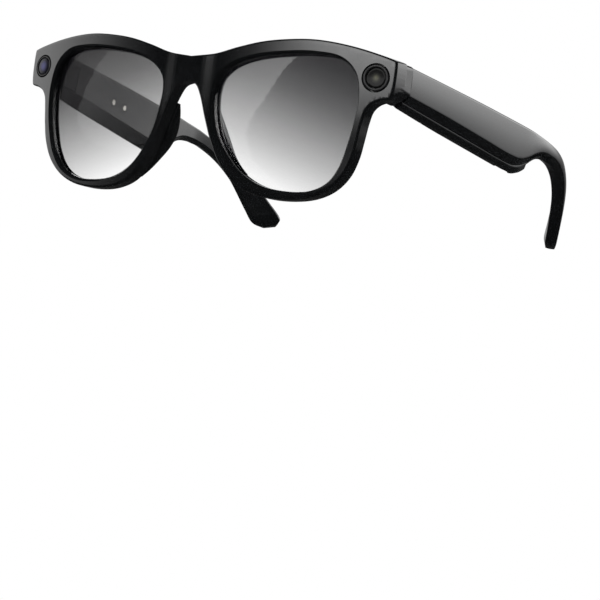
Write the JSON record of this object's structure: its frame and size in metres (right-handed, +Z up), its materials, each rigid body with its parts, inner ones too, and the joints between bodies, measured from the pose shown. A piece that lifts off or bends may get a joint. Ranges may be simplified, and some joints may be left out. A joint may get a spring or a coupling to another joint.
{
  "type": "smart glasses",
  "caption": "Glossy black smart glasses: curved front with gradient lenses, a camera and a light at its corners, and folding temples that hold the electronics.",
  "frame": {"origin": "the middle of the glasses' footprint, on the surface they rest on, with both temples open", "axes": "+X to the wearer's left, +Y from the front back along the temples, +Z up; the glasses rest on the two rims and the two temple tips"},
  "size_m": [0.1618, 0.1426, 0.0518],
  "materials": {
    "black_gloss": "polished black acetate-like plastic",
    "lens_tint": "grey gradient tint, darker at the top",
    "camera_glass": "domed coated glass with a violet sheen",
    "smoked_window": "smoked flat window",
    "dark_plastic": "fine matte",
    "steel": "satin",
    "gold_contacts": "plated",
    "copper_film": "flat film",
    "board_green": "circuit board with solder mask",
    "battery_foil": "foil pouch",
    "light_emitter": "clear yellow emitter"
  },
  "bodies": {
    "front": {"front_frame": "black_gloss", "lens_left": "lens_tint", "lens_right": "lens_tint", "nose_pad_left": "black_gloss", "nose_pad_right": "black_gloss", "camera_bezel": "black_gloss", "camera_window": "camera_glass", "camera_barrel": "dark_plastic", "camera_sensor": "board_green", "light_bezel": "black_gloss", "light_window": "smoked_window", "light_emitter": "light_emitter", "light_board": "board_green", "hinge_front_left": "steel", "hinge_front_right": "steel", "hinge_pin_left": "steel", "hinge_pin_right": "steel"},
    "temple_left": {"temple_shell_left": "black_gloss", "temple_cover_left": "black_gloss", "board_left": "board_green", "battery_left": "battery_foil", "speaker_left": "dark_plastic", "speaker_grille_left": "steel", "microphone_left": "steel", "hinge_temple_left": "steel"},
    "temple_right": {"temple_shell_right": "black_gloss", "temple_cover_right": "black_gloss", "board_right": "board_green", "battery_right": "battery_foil", "speaker_right": "dark_plastic", "speaker_grille_right": "steel", "microphone_right": "steel", "hinge_temple_right": "steel", "touch_sensor": "copper_film", "charging_contact_front": "gold_contacts", "charging_contact_back": "gold_contacts"},
    "capture_button": {"capture_button": "dark_plastic"},
    "power_switch": {"power_switch": "dark_plastic"}
  },
  "joints": [
    {"name": "temple_left_fold", "type": "hinge", "parent": "front", "child": "temple_left", "pos_m": [0.0666, -0.05458, 0.03575], "axis": [0, 0.1399, 0.9902], "range_deg": [0, 86.5]},
    {"name": "temple_right_fold", "type": "hinge", "parent": "front", "child": "temple_right", "pos_m": [-0.0666, -0.05458, 0.03575], "axis": [0, -0.1399, -0.9902], "range_deg": [0, 62]},
    {"name": "capture_button_press", "type": "slide", "parent": "temple_right", "child": "capture_button", "axis": [0, -0.1399, -0.9902], "range_m": [0, 0.0004], "stiffness_N_per_m": 600},
    {"name": "power_switch_slide", "type": "slide", "parent": "temple_left", "child": "power_switch", "axis": [0.0797, 0.987, -0.1395], "range_m": [0, 0.0034]}
  ]
}
